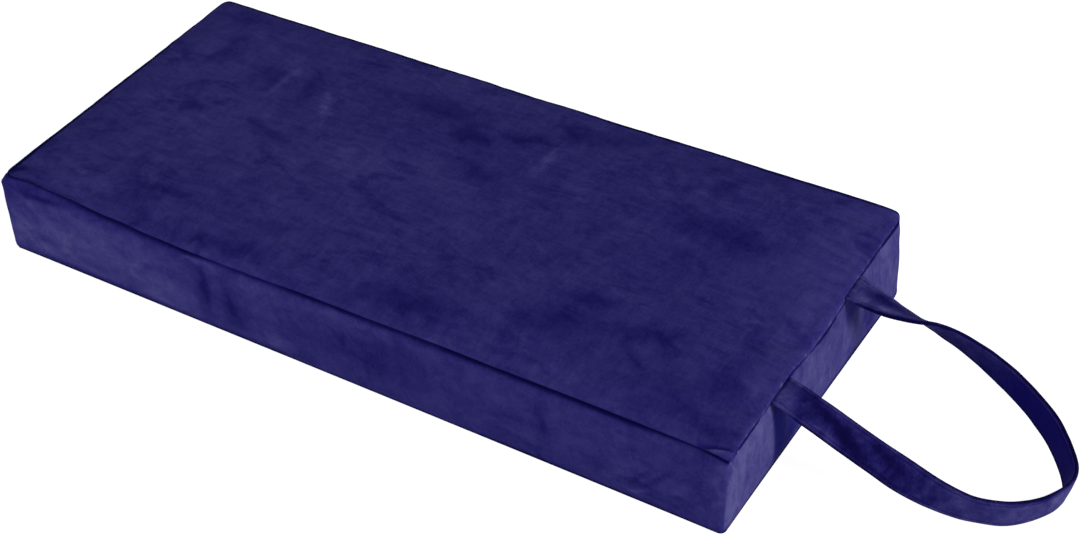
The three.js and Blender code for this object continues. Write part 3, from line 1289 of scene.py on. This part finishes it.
    def strap_shadow(self, points: Array) -> Array:
        """How much of the strap's painted shadow each point of the strap end gets, from 0 to 1.

        Args:
            points: places on the pad, one a row.

        Returns:
            The shares.
        """
        flat = Face.STRAP_END.flat(points)
        foot, lean = FRONT_SHADE_EDGE
        front = eased_profile(FRONT_SHADE, flat[:, 0] - foot - lean * flat[:, 1])
        back = sum(
            depth * bell(flat[:, 0] - across, breadth) * bell(flat[:, 1] - up, height)
            for (across, up), breadth, height, depth in BACK_SHADE
        )
        return np.maximum(front, back) * self.face_weight(points, Face.STRAP_END)

    def build(self) -> bpy.types.Object:
        """Makes the filled cover.

        Returns:
            The piece, dressed and given its body.
        """
        lines_x = self.grid_lines(self.half_length, 0.0)
        lines_y = self.grid_lines(self.half_width, self.fine_end)
        table = np.array([(row.inset, row.height, row.corner, row.follows) for row in SIDE_SECTION])
        steps = [row.steps for row in SIDE_SECTION[:-1]]
        rows = [SectionRow(*values) for values in spline_through(table, steps)]
        cover = self.lay_out(lines_x, lines_y, rows)
        self.swell(cover, lines_x, lines_y, rows)
        true = self.pucker_seams(self.press_creases(cover.points()))
        points = self.drift(true)
        cover.keep_points(points)
        for row in (LOWER_SEAM_ROW, TOP_SEAM_ROW):
            self.seam_line[row] = cover.band[sum(steps[:row])]
        pad = new_piece("kneeling_pad", points, cover.faces())
        set_point_values(pad, PILE_AND_LIGHT, self.nap(true))
        # The strap's painted shadow also turns the colour there a deeper blue.
        set_point_values(pad, PAINTED_SHADE, self.strap_shadow_depth * self.strap_shadow(true))
        dress(pad, self.finish.material())
        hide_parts("cushion")
        return pad


# The strap


@dataclass(frozen=True)
class StrapStation:
    """Place on the strap's middle line, and the strip's roll there."""

    out: float  # past the end of the pad
    across: float
    up: float
    roll: float  # degrees


STRAP_ROUTE = (
    StrapStation(-2.8, -48, 51.2, 0),
    StrapStation(4, -48, 49.2, 8),
    StrapStation(14, -47, 45, 23),
    StrapStation(35, -45.5, 34.5, 28),
    StrapStation(51, -43, 25, 33),
    StrapStation(62.5, -41.5, 19, 52),
    StrapStation(76, -40.5, 14.3, 72),
    StrapStation(94, -38.5, 11.3, 89),
    StrapStation(115.5, -29.5, 11, 96),
    StrapStation(129.5, -3, 9.7, 102),
    StrapStation(116.5, 21, 11.8, 103),
    StrapStation(97, 35.5, 17, 97),
    StrapStation(78, 41, 25.3, 86),
    StrapStation(59, 42, 34, 70.5),
    StrapStation(43, 40, 40.7, 54),
    StrapStation(23, 36, 45.8, 20),
    StrapStation(5, 36, 48.9, 3),
    StrapStation(-4.0, 36, 50.8, 0),
)

# How the strap's pile lies along its run, in millimetres from its front end: outer face, then inner face.
OUTER_LIE: Profile = (
    (0, 0.1), (7, 0.04), (13, -0.15), (22, -0.17), (32, -0.18), (42, -0.19), (60, -0.19), (70, -0.18),
    (80, -0.13), (86, -0.12), (92, -0.06), (101, 0.02), (111, -0.03), (118, 0.02), (126, 0.08), (142, 0.07),
    (150, 0.18), (157, 0.12), (163, -0.02), (270, -0.02), (290, -0.03), (304, -0.06), (313, 0.06),
    (322, 0.15),
)
INNER_LIE: Profile = (
    (0, -0.1), (160, -0.02), (172, -0.12), (215, -0.12), (235, -0.08), (262, -0.09), (275, -0.06),
    (320, -0.02),
)

# How much painted shade turns the strap's inner face a deeper blue along its run, where it faces away from
# the light.
INNER_SHADE: Profile = (
    (0, 0.85), (150, 0.4), (172, 0.85), (220, 0.85), (245, 0.35), (270, 0.3), (320, 0.3),
)

# How much lighter the strap's upper edge is painted, a painted highlight where it catches the light.
UPPER_EDGE_HIGHLIGHT: Profile = (
    (0, 0.0), (12, 0.02), (24, 0.1), (70, 0.1), (90, 0.03), (168, 0.03), (180, 0.11), (230, 0.15),
    (262, 0.17), (280, 0.0), (320, 0.0),
)

# Colour of each tone of the strap's cloth: the cover's colours made a little darker and less blue,
# as painted shade that offsets the stronger light on the strap.
STRAP_SHADES = (
    (0.10, from_srgb(0, 0, 36)),
    (0.29, from_srgb(5, 2, 46)),
    (0.40, from_srgb(14, 11, 62)),
    (0.50, from_srgb(25, 22, 74)),
    (0.62, from_srgb(36, 33, 85)),
    (0.72, from_srgb(46, 43, 94)),
    (0.84, from_srgb(57, 54, 103)),
)

# Patches of the strap's outer face, by run and across towards the edge that ends up on top.
# Those of breadth 1.8 or less with a negative tone, along an edge, are painted shade.
STRAP_PATCHES = tuple(PileAndLightPatch(*row) for row in (
    ((5, -3.5), 6, 3, 20, 0.1), ((6, 3.5), 6, 2.5, 0, -0.08), ((36, -0.5), 18, 3, -17, -0.09),
    ((43, 4), 9, 2.2, -35, 0.02), ((62, 2.5), 13, 3, -12, -0.08), ((24, -6.3), 22, 1.6, 0, 0.12),
    ((58, -5.5), 12, 2.2, 0, 0.03), ((103, 3), 7, 5, 0, 0.06), ((140, 0), 22, 5, 0, 0.03),
    ((305, -2.5), 11, 3.2, 0, -0.13), ((304, -8), 12, 3, 0, 0.16), ((313, 8.8), 7, 1.0, 0, -0.25),
    ((297, 8.8), 15, 1.0, 0, -0.3), ((300, 4.8), 13, 2.4, 0, 0.17), ((136, 8), 14, 1.8, 0, -0.25),
    ((33, -5.5), 9, 2.5, -10, 0.08), ((32, 1.5), 13, 2.0, -14, -0.06), ((50, -0.5), 7, 2.5, -30, 0.06),
))

STRAP_WAVES = (SoftNoise(41, 14.0, 42.0, 0.22), SoftNoise(42, 7.0, 16.0, 0.07))
STRAP_MOTTLE = (SoftNoise(43, 5.0, 13.0, 0.05), SoftNoise(44, 2.2, 5.0, 0.035))
ON_ROW = 0.01  # distance from a row of stitches within which a line of the grid lies on it


@dataclass
class CarryStrap:
    """Strip of cloth folded in four and sewn flat, looped from the top seam down to the floor and back."""

    finish: PileCloth
    pad_end: float = 225.0
    width: float = 17.0
    thickness: float = 2.4
    pinched: float = 1.2  # thickness where the seam grips it
    pinch_reach: float = 0.05  # share of its run
    seated: float = 1.5  # length of each end inside the seam
    slant: Place = (2.9, 3.9)  # how much wider the front and the back end are, which enter the seam aslant
    slant_reach: Place = (19.0, 27.0)  # length over which each of them narrows
    stitch_inset: float = 2.2  # from each edge to its row of stitches
    stitch_sink: Place = (0.3, 0.6)  # how deep a row lies, and its reach
    puff: Place = (0.12, 5.0)  # how far the middle of each face swells, and its reach
    held_end: Place = (6.0, 30.0)  # distance from the seam over which the strip begins to wave
    steps_per_span: int = 22
    edge_steps: int = 8
    row_steps: tuple[float, ...] = (0.9, 0.45, 0.2, 0.0, -0.2, -0.45, -0.9)  # lines of the grid beside a row
    middle_lines: int = 9
    middle_gap: float = 2.0  # from a row to the lines between the rows
    rim_light: Place = (0.05, 0.6)  # by which it lies lighter outside the rows, and how wide that ends
    highlight_reach: float = 2.0  # of the painted highlight along the upper edge
    edge_shade: Place = (0.4, 0.5)  # painted shade round each edge, and its reach
    edge_outer: float = 0.6  # share of that on the outer half of an edge
    edge_half: float = 0.5  # share of the thickness over which the two halves of an edge meet
    free_end: Place = (8.0, 26.0)  # distance from the seam over which the edges darken
    sewn_shade: Place = (0.08, 0.45)  # by which it lies darker along a row, and its reach
    grip_shade: Place = (0.3, 1.0)  # painted shade where the seam grips it, and its reach
    face_turn: float = 0.6  # share of the thickness over which the lie of one face turns into the other's
    mottle_stretch: Place = (1.4, 12.0)  # of the mottle, across the strip and from one face to the other
    inner_shade_turn: Place = (-0.5, 0.3)  # share of the thickness over which the inner face's painted shade ends
    inner_shade_rim: Place = (0.4, 2.4)  # distance from an edge over which it begins
    rows: list[Array] = field(default_factory=list)

    def section(self) -> Array:
        """Cross-section, anticlockwise: millimetres across, and shares of half the thickness out.

        Returns:
            The pairs, one a row.
        """
        half = self.width / 2
        edge = self.thickness / 2
        turn = np.linspace(-math.pi / 2, math.pi / 2, self.edge_steps + 1)
        rounded = np.column_stack([half - edge + edge * np.cos(turn), np.sin(turn)])
        row = half - self.stitch_inset
        flats = [row + step for step in self.row_steps]
        middle = list(np.linspace(row - self.middle_gap, self.middle_gap - row, self.middle_lines))
        outer = np.array([(across, 1.0) for across in flats + middle + [-a for a in reversed(flats)]])
        left = rounded[::-1] * (-1, 1)
        inner = outer[::-1] * (1, -1)
        return np.vstack([rounded, outer, left, inner])

    def frames(self) -> tuple[Array, Array, Array, Array]:
        """The strip's middle line and its directions there.

        Returns:
            Middles, unit vectors across the strip, unit vectors out of its outer face, and shares of the run.
        """
        route = np.array([(self.pad_end + s.out, s.across, s.up) for s in STRAP_ROUTE], float)
        rolls = np.array([[s.roll] for s in STRAP_ROUTE], float)
        steps = [self.steps_per_span] * (len(route) - 1)
        middles = spline_through(route, steps)
        roll = np.radians(spline_through(rolls, steps, centripetal=False))
        along = np.gradient(middles, axis=0)
        along /= np.linalg.norm(along, axis=1, keepdims=True)
        inward = np.cross((0.0, 0.0, 1.0), along)
        inward /= np.linalg.norm(inward, axis=1, keepdims=True)
        upward = np.cross(along, inward)
        across = np.cos(roll) * inward + np.sin(roll) * upward
        outer = np.cos(roll) * upward - np.sin(roll) * inward
        return middles, across, outer, np.linspace(0, 1, len(middles))

    def build(self) -> bpy.types.Object:
        """Makes the strap.

        Returns:
            The piece, dressed and given its body.
        """
        middles, across, outer, shares = self.frames()
        section = self.section()
        run = np.concatenate([[0], np.cumsum(np.linalg.norm(np.diff(middles, axis=0), axis=1))])
        from_seam = np.minimum(shares, 1 - shares) / self.pinch_reach
        thick = self.pinched + (self.thickness - self.pinched) * smoothstep(0, 1, from_seam)
        half = self.width / 2
        from_row = np.abs(section[:, 0]) - (half - self.stitch_inset)
        sink, sink_reach = self.stitch_sink
        puff, puff_reach = self.puff
        relief = sink * bell(from_row, sink_reach) - puff * bell(section[:, 0], puff_reach)
        rings = []
        for middle, side, face, depth, length in zip(middles, across, outer, thick, run):
            place = np.column_stack([np.full(len(section), length), section[:, 0], np.zeros(len(section))])
            held = smoothstep(*self.held_end, min(length, run[-1] - length))
            out = section[:, 1] * (depth / 2 - relief * depth / self.thickness)
            out = out + held * sum(noise.at(place) for noise in STRAP_WAVES)
            reach = section[:, 0] + self.slanted(section[:, 0] / half, length, run[-1])
            rings.append(middle + reach[:, None] * side + out[:, None] * face)
        points = np.array(rings)
        strap = self.strip_piece(points)
        set_point_values(strap, PILE_AND_LIGHT, self.nap(section, run))
        # Painted shade on the inner face, which faces away from the light.
        inner_shade = 1 - smoothstep(*self.inner_shade_turn, section[:, 1])
        inner_shade *= smoothstep(*self.inner_shade_rim, half - np.abs(section[:, 0]))
        set_point_values(strap, PAINTED_SHADE, np.outer(eased_profile(INNER_SHADE, run), inner_shade).ravel())
        dress(strap, self.finish.material())
        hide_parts("carry_strap")
        columns = np.nonzero(np.abs(from_row) < ON_ROW)[0]
        self.rows = [points[:, column] for column in columns]
        return strap

    def slanted(self, across: Array, length: float, whole: float) -> Array:
        """How much wider the strip is near its ends, on the edge away from the near side.

        Args:
            across: places across the strip, from -1 to 1.
            length: distance along the run from the front end.
            whole: length of the run.

        Returns:
            What is added to the places, in millimetres.
        """
        front = max(0.0, 1 - length / self.slant_reach[0])
        back = max(0.0, 1 - (whole - length) / self.slant_reach[1])
        return self.slant[0] * front * np.maximum(across, 0) + self.slant[1] * back * np.minimum(across, 0)

    def nap(self, section: Array, run: Array) -> Array:
        """How the pile lies at each vertex of the strip, with painted highlights and shade along its edges.

        Args:
            section: the cross-section's pairs.
            run: distance of each ring from the front end.

        Returns:
            The tones, ring by ring.
        """
        length, across = (grid.ravel() for grid in np.meshgrid(run, section[:, 0], indexing="ij"))
        out = np.tile(section[:, 1], len(run))
        outer = smoothstep(-self.face_turn, self.face_turn, out)
        inner_half = 1 - smoothstep(-self.edge_half, self.edge_half, out)
        flat = np.column_stack([length, across])
        on_outer = eased_profile(OUTER_LIE, length) + sum(patch.lie(flat) for patch in STRAP_PATCHES)
        on_inner = eased_profile(INNER_LIE, length)
        from_end = np.minimum(length, run[-1] - length)
        from_edge = self.width / 2 - np.abs(across)
        from_upper_row = across - self.width / 2 + self.stitch_inset
        light, light_end = self.rim_light
        rim = light * (1 - smoothstep(self.stitch_inset - light_end, self.stitch_inset, from_edge))
        # Painted highlight along the upper edge, where it catches the light.
        edge_highlight = eased_profile(UPPER_EDGE_HIGHLIGHT, length) * bell(from_upper_row, self.highlight_reach)
        # Painted shade round each edge, most on its inner half.
        dark, dark_reach = self.edge_shade
        halves = self.edge_outer + (1 - self.edge_outer) * inner_half
        edge = dark * bell(from_edge, dark_reach) * halves * smoothstep(*self.free_end, from_end)
        sewn = self.sewn_shade[0] * bell(from_edge - self.stitch_inset, self.sewn_shade[1])
        # Painted shade where the seam grips the ends.
        gripped = self.grip_shade[0] * bell(from_end - self.seated, self.grip_shade[1])
        stretch_across, stretch_out = self.mottle_stretch
        place = np.column_stack([length, stretch_across * across, stretch_out * outer])
        mottle = sum(noise.at(place) for noise in STRAP_MOTTLE)
        return on_inner + (on_outer - on_inner) * outer + rim + edge_highlight + mottle - edge - sewn - gripped

    @staticmethod
    def strip_piece(rings: Array) -> bpy.types.Object:
        """Closed strip through rings of points, with a flat face at each end.

        Args:
            rings: points by ring.

        Returns:
            The piece, not dressed.
        """
        count, around = rings.shape[:2]
        numbers = np.arange(count * around).reshape(count, around)
        onward = np.roll(numbers, -1, axis=1)
        sides = np.stack([numbers[:-1], onward[:-1], onward[1:], numbers[1:]], -1).reshape(-1, 4)
        faces = [tuple(face) for face in sides.tolist()]
        faces.append(tuple(numbers[0, ::-1].tolist()))
        faces.append(tuple(numbers[-1].tolist()))
        return new_piece("strap_band", rings.reshape(-1, 3), faces)


# Stitches

STITCH_INPUTS = {"Pitch": "Float", "Length": "Float", "Thread": "Float", "Seed": "Int", "Finish": "Material"}
STITCH_BEAD = {"Segments": 8, "Rings": 6, "Radius": 0.5}  # of unit size, before it is drawn out


@dataclass
class StitchRow:
    """Row of thread stitches along lines of points, laid by Geometry Nodes."""

    name: str
    finish: SewingThread
    slot: str
    lines: list[Array]
    closed: bool
    pitch: float = 3.2
    length: float = 2.7
    thread: float = 0.5
    uneven: Place = (0.86, 1.04)  # least and greatest share of its length that a stitch has
    seed: int = 7

    def tree(self) -> tuple[bpy.types.NodeTree, dict[str, str]]:
        """The node tree that lays the stitches.

        Returns:
            The tree, and the identifier of each of its inputs by name.
        """
        tree = bpy.data.node_groups.new(self.name, "GeometryNodeTree")
        nodes = NodeTree(tree)
        face = tree.interface
        face.new_socket("Geometry", in_out="INPUT", socket_type="NodeSocketGeometry")
        inputs = {}
        for name, kind in STITCH_INPUTS.items():
            socket = face.new_socket(name, in_out="INPUT", socket_type="NodeSocket" + kind)
            inputs[name] = socket.identifier
        face.new_socket("Geometry", in_out="OUTPUT", socket_type="NodeSocketGeometry")
        given = nodes.add("NodeGroupInput").outputs
        curve = nodes.add("GeometryNodeMeshToCurve", {"Mesh": given["Geometry"]})
        spacing = {"Curve": curve.outputs[0], "Length": given["Pitch"]}
        spaced = nodes.add("GeometryNodeResampleCurve", spacing, mode="LENGTH")
        uneven = nodes.add("FunctionNodeRandomValue", {"Seed": given["Seed"]}, data_type="FLOAT")
        uneven.inputs[2].default_value, uneven.inputs[3].default_value = self.uneven
        long = nodes.add("ShaderNodeMath", {0: given["Length"], 1: uneven.outputs[1]}, operation="MULTIPLY")
        thread = given["Thread"]
        size = nodes.add("ShaderNodeCombineXYZ", {"X": thread, "Y": thread, "Z": long.outputs[0]})
        bead = nodes.add("GeometryNodeMeshUVSphere", STITCH_BEAD)
        tangent = nodes.add("GeometryNodeInputTangent")
        way = nodes.add("FunctionNodeAlignRotationToVector", {"Vector": tangent.outputs[0]}, axis="Z")
        laid = nodes.add("GeometryNodeInstanceOnPoints", {
            "Points": spaced.outputs[0],
            "Instance": bead.outputs["Mesh"],
            "Rotation": way.outputs[0],
            "Scale": size.outputs[0],
        })
        real = nodes.add("GeometryNodeRealizeInstances", {"Geometry": laid.outputs[0]})
        smooth = nodes.add("GeometryNodeSetShadeSmooth", {"Geometry": real.outputs[0]})
        dye = {"Geometry": smooth.outputs[0], "Material": given["Finish"]}
        dyed = nodes.add("GeometryNodeSetMaterial", dye)
        nodes.add("NodeGroupOutput", {"Geometry": dyed.outputs[0]})
        return tree, inputs

    def guide(self) -> bpy.types.Object:
        """Object whose edges run along the lines.

        Returns:
            The object.
        """
        points = []
        edges = []
        for line in self.lines:
            first = len(points)
            points.extend((line * MM).tolist())
            edges.extend((index, index + 1) for index in range(first, len(points) - 1))
            if self.closed:
                edges.append((len(points) - 1, first))
        mesh = bpy.data.meshes.new(self.name + "_guide")
        mesh.from_pydata(points, edges, [])
        guide = bpy.data.objects.new(self.name + "_guide", mesh)
        bpy.context.scene.collection.objects.link(guide)
        return guide

    def build(self) -> bpy.types.Object:
        """Makes the stitches.

        Returns:
            The piece, dressed.
        """
        guide = self.guide()
        tree, inputs = self.tree()
        material = self.finish.material()
        modifier = guide.modifiers.new("stitches", "NODES")
        modifier.node_group = tree
        sizes = (self.pitch * MM, self.length * MM, self.thread * MM)
        for name, value in zip(STITCH_INPUTS, (*sizes, self.seed, material)):
            modifier[inputs[name]] = value
        made = guide.evaluated_get(bpy.context.evaluated_depsgraph_get())
        mesh = bpy.data.meshes.new_from_object(made)
        bpy.data.objects.remove(guide)
        piece = bpy.data.objects.new(self.name, mesh)
        bpy.context.scene.collection.objects.link(piece)
        dress(piece, material)
        return piece


# The studio

WHITE = (1.0, 1.0, 1.0, 1.0)


@dataclass(frozen=True)
class SoftLamp:
    """Square area lamp that looks at a point, in metres."""

    name: str
    place: Triple
    aim: Triple
    size: float
    watts: float
    colour: Colour = (1.0, 1.0, 1.0)

    def build(self) -> bpy.types.Object:
        """Makes the lamp.

        Returns:
            The lamp, in the scene.
        """
        light = bpy.data.lights.new(self.name, "AREA")
        light.size = self.size
        light.energy = self.watts
        light.color = self.colour
        lamp = bpy.data.objects.new(self.name, light)
        lamp.location = self.place
        lamp.rotation_mode = "QUATERNION"
        lamp.rotation_quaternion = (Vector(self.aim) - Vector(self.place)).to_track_quat("-Z", "Y")
        bpy.context.scene.collection.objects.link(lamp)
        return lamp


@dataclass
class Studio:
    """Plain pale floor, soft light, and the camera at the photograph's angle."""

    floor_half: float = 4.0
    floor_colour: Colour = (0.15, 0.15, 0.15)
    floor_glow: float = 0.95
    sky_strength: float = 0.5
    lens: float = 65.24  # millimetres, as the sensor's width
    sensor: float = 36.0
    camera_place: Triple = (0.49612, -0.66332, 0.69874)  # metres
    azimuth: float = 33.28  # degrees, as the next two
    elevation: float = 40.29
    roll: float = -3.14
    lamps: tuple[SoftLamp, ...] = (
        SoftLamp("end_light", (2.4, -0.18, 1.35), (0.2, 0.0, 0.03), 0.6, 100.0, (1.0, 1.0, 0.8)),
        SoftLamp("front_light", (-1.1, -2.3, 0.9), (0.0, 0.0, 0.0), 1.4, 45.0, (1.0, 1.0, 0.93)),
    )

    def build(self) -> None:
        """Makes the floor, the lamps, the sky and the camera."""
        self.make_floor()
        for lamp in self.lamps:
            lamp.build()
        self.make_sky()
        self.make_camera()

    def make_floor(self) -> None:
        """Makes the floor under the underside."""
        half = self.floor_half
        mesh = bpy.data.meshes.new("studio_floor")
        corners = [(-half, -half, 0), (half, -half, 0), (half, half, 0), (-half, half, 0)]
        mesh.from_pydata(corners, [], [(0, 1, 2, 3)])
        floor = bpy.data.objects.new("studio_floor", mesh)
        bpy.context.scene.collection.objects.link(floor)
        material = bpy.data.materials.new("studio_floor_matt")
        material.use_nodes = True
        nodes = NodeTree(material.node_tree)
        matt = nodes.add("ShaderNodeBsdfDiffuse", {"Color": (*self.floor_colour, 1.0)})
        glow = nodes.add("ShaderNodeEmission", {"Color": WHITE, "Strength": self.floor_glow})
        both = nodes.add("ShaderNodeAddShader", {0: matt.outputs["BSDF"], 1: glow.outputs["Emission"]})
        nodes.add("ShaderNodeOutputMaterial", {"Surface": both.outputs["Shader"]})
        mesh.materials.append(material)

    def make_sky(self) -> None:
        """Makes the even light all round, and the plain view transform."""
        scene = bpy.context.scene
        world = bpy.data.worlds.new("studio_sky")
        world.use_nodes = True
        nodes = NodeTree(world.node_tree)
        glow = nodes.add("ShaderNodeBackground", {"Color": WHITE, "Strength": self.sky_strength})
        nodes.add("ShaderNodeOutputWorld", {"Surface": glow.outputs["Background"]})
        scene.world = world
        scene.view_settings.view_transform = "Standard"

    def make_camera(self) -> None:
        """Makes the camera."""
        angles = (self.azimuth, self.elevation, self.roll)
        azimuth, elevation, roll = (math.radians(angle) for angle in angles)
        level = Vector((math.cos(azimuth), math.sin(azimuth), 0.0))
        ahead = Vector((-math.sin(azimuth), math.cos(azimuth), 0.0)) * math.cos(elevation)
        view = ahead - Vector((0.0, 0.0, math.sin(elevation)))
        upright = level.cross(view)
        right = level * math.cos(roll) + upright * math.sin(roll)
        up = upright * math.cos(roll) - level * math.sin(roll)
        data = bpy.data.cameras.new("photo_view")
        data.lens = self.lens
        data.sensor_width = self.sensor
        camera = bpy.data.objects.new("photo_view", data)
        turned = Matrix((right, up, -view)).transposed().to_4x4()
        camera.matrix_world = Matrix.Translation(self.camera_place) @ turned
        bpy.context.scene.collection.objects.link(camera)
        bpy.context.scene.camera = camera


def main() -> None:
    """Builds the studio and the cushion's pieces in order."""
    logging.basicConfig(level=logging.INFO)
    Studio().build()
    pad = KneelingPad(PileCloth("cover_pile"))
    log.info("made %s", pad.build().name)
    # The strap's painted shade, on its inner face, is a deep blue of its own.
    pressed = PileCloth("strap_pile", shades=STRAP_SHADES, shaded=from_srgb(5, 2, 68), mottle=1.35)
    strap = CarryStrap(pressed)
    log.info("made %s", strap.build().name)
    thread = SewingThread("navy_thread")
    rows = (
        StitchRow("seam_stitches", thread, "cover_cloth", list(pad.seam_line.values()), closed=True),
        StitchRow(
            "strap_stitches", thread, "strap_cloth", strap.rows, closed=False,
            pitch=2.6, length=1.9, thread=0.2,
        ),
    )
    for row in rows:
        log.info("made %s", row.build().name)


if __name__ == "__main__":
    main()
